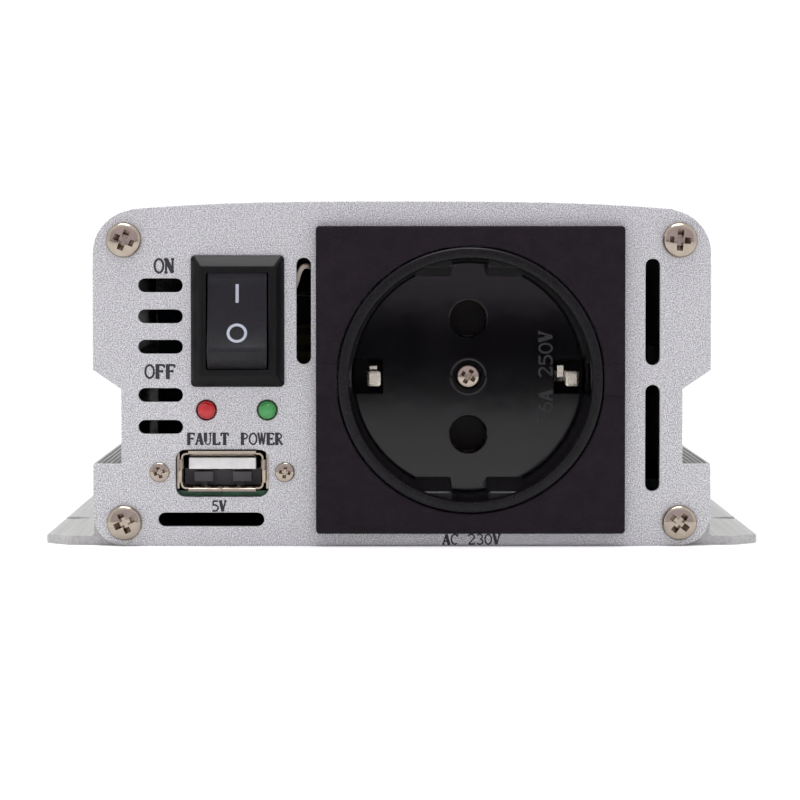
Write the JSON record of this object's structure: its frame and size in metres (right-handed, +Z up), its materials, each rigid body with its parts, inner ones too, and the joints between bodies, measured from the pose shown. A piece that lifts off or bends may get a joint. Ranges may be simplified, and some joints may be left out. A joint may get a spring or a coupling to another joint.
{
  "type": "power inverter",
  "caption": "Compact car power inverter in a flanged aluminium extrusion, with rocker switch, indicators, USB outlet, earthed type F outlet, rear fan and screw-down input terminals.",
  "frame": {"origin": "centre of the case's flat underside", "axes": "+Z up, outlet end towards -Y, +X to the right when facing the outlet"},
  "size_m": [0.1146, 0.1748, 0.055],
  "materials": {
    "case": "extruded, satin",
    "plate": "sand-blasted, anodised silver",
    "nickel": "nickel plated steel",
    "brass": "plain",
    "matt_black": "fine spark-eroded grain",
    "gloss_black": "polished moulding",
    "red_plastic": "moulded",
    "red_lens": "tinted epoxy",
    "green_lens": "tinted epoxy",
    "white_plastic": "moulded",
    "circuit_board": "solder mask",
    "ferrite": "sintered",
    "tape": "polyester tape",
    "copper": "enamelled wire",
    "capacitor": "shrink sleeve",
    "red_wire": "insulation",
    "black_wire": "insulation",
    "brown_wire": "insulation",
    "blue_wire": "insulation"
  },
  "bodies": {
    "chassis": {"black_post_base": "gloss_black", "black_post_nut": "nickel", "black_post_stud": "brass", "body_extrusion": "case", "bus_capacitor": "capacitor", "clamp_bar": "case", "earth_strap": "nickel", "fan_frame": "matt_black", "fan_screw_lower_left": "nickel", "fan_screw_lower_right": "nickel", "fan_screw_upper_left": "nickel", "fan_screw_upper_right": "nickel", "front_plate": "plate", "front_screw_lower_left": "nickel", "front_screw_lower_right": "nickel", "front_screw_upper_left": "nickel", "front_screw_upper_right": "nickel", "input_capacitor": "capacitor", "led_fault": "red_lens", "led_power": "green_lens", "live_sleeve": "brass", "live_wire": "brown_wire", "main_board": "circuit_board", "negative_lead": "black_wire", "neutral_sleeve": "brass", "neutral_wire": "blue_wire", "output_choke": "copper", "positive_lead": "red_wire", "rear_plate": "plate", "rear_screw_lower_left": "nickel", "rear_screw_lower_right": "nickel", "rear_screw_upper_left": "nickel", "rear_screw_upper_right": "nickel", "red_post_base": "red_plastic", "red_post_nut": "nickel", "red_post_stud": "brass", "socket_back": "gloss_black", "socket_cup": "gloss_black", "socket_faceplate": "matt_black", "socket_screw": "nickel", "switch_housing": "gloss_black", "switch_terminal_in": "brass", "switch_terminal_out": "brass", "transformer_core": "ferrite", "transformer_winding": "tape", "transistor_1": "matt_black", "transistor_2": "matt_black", "transistor_3": "matt_black", "transistor_4": "matt_black", "usb_bracket": "nickel", "usb_screw_left": "nickel", "usb_screw_right": "nickel", "usb_shell": "nickel", "usb_tongue": "white_plastic"},
    "rocker": {"switch_rocker": "gloss_black"},
    "fan": {"fan_rotor": "gloss_black"},
    "red_washer": {"red_post_washer": "nickel"},
    "red_knob": {"red_post_knob": "red_plastic"},
    "black_washer": {"black_post_washer": "nickel"},
    "black_knob": {"black_post_knob": "gloss_black"}
  },
  "joints": [
    {"name": "rocker_tilt", "type": "hinge", "parent": "chassis", "child": "rocker", "pos_m": [-0.0262, -0.0721, 0.0359], "axis": [1, 0, 0], "range_deg": [0, 28]},
    {"name": "fan_spin", "type": "hinge", "parent": "chassis", "child": "fan", "pos_m": [-0.021, 0.0663, 0.0275], "axis": [0, 1, 0], "continuous": true},
    {"name": "red_knob_turn", "type": "hinge", "parent": "red_washer", "child": "red_knob", "pos_m": [0.013, 0.0794, 0.028], "axis": [0, 1, 0], "range_deg": [0, 1440]},
    {"name": "red_washer_slide", "type": "slide", "parent": "chassis", "child": "red_washer", "axis": [0, 1, 0], "range_m": [0, 0.004]},
    {"name": "black_knob_turn", "type": "hinge", "parent": "black_washer", "child": "black_knob", "pos_m": [0.035, 0.0794, 0.028], "axis": [0, 1, 0], "range_deg": [0, 1440]},
    {"name": "black_washer_slide", "type": "slide", "parent": "chassis", "child": "black_washer", "axis": [0, 1, 0], "range_m": [0, 0.004]}
  ],
  "couplings": [
    {"joint": "red_knob_turn", "follows": "red_washer_slide", "rad_per_m": 6283},
    {"joint": "black_knob_turn", "follows": "black_washer_slide", "rad_per_m": 6283}
  ]
}
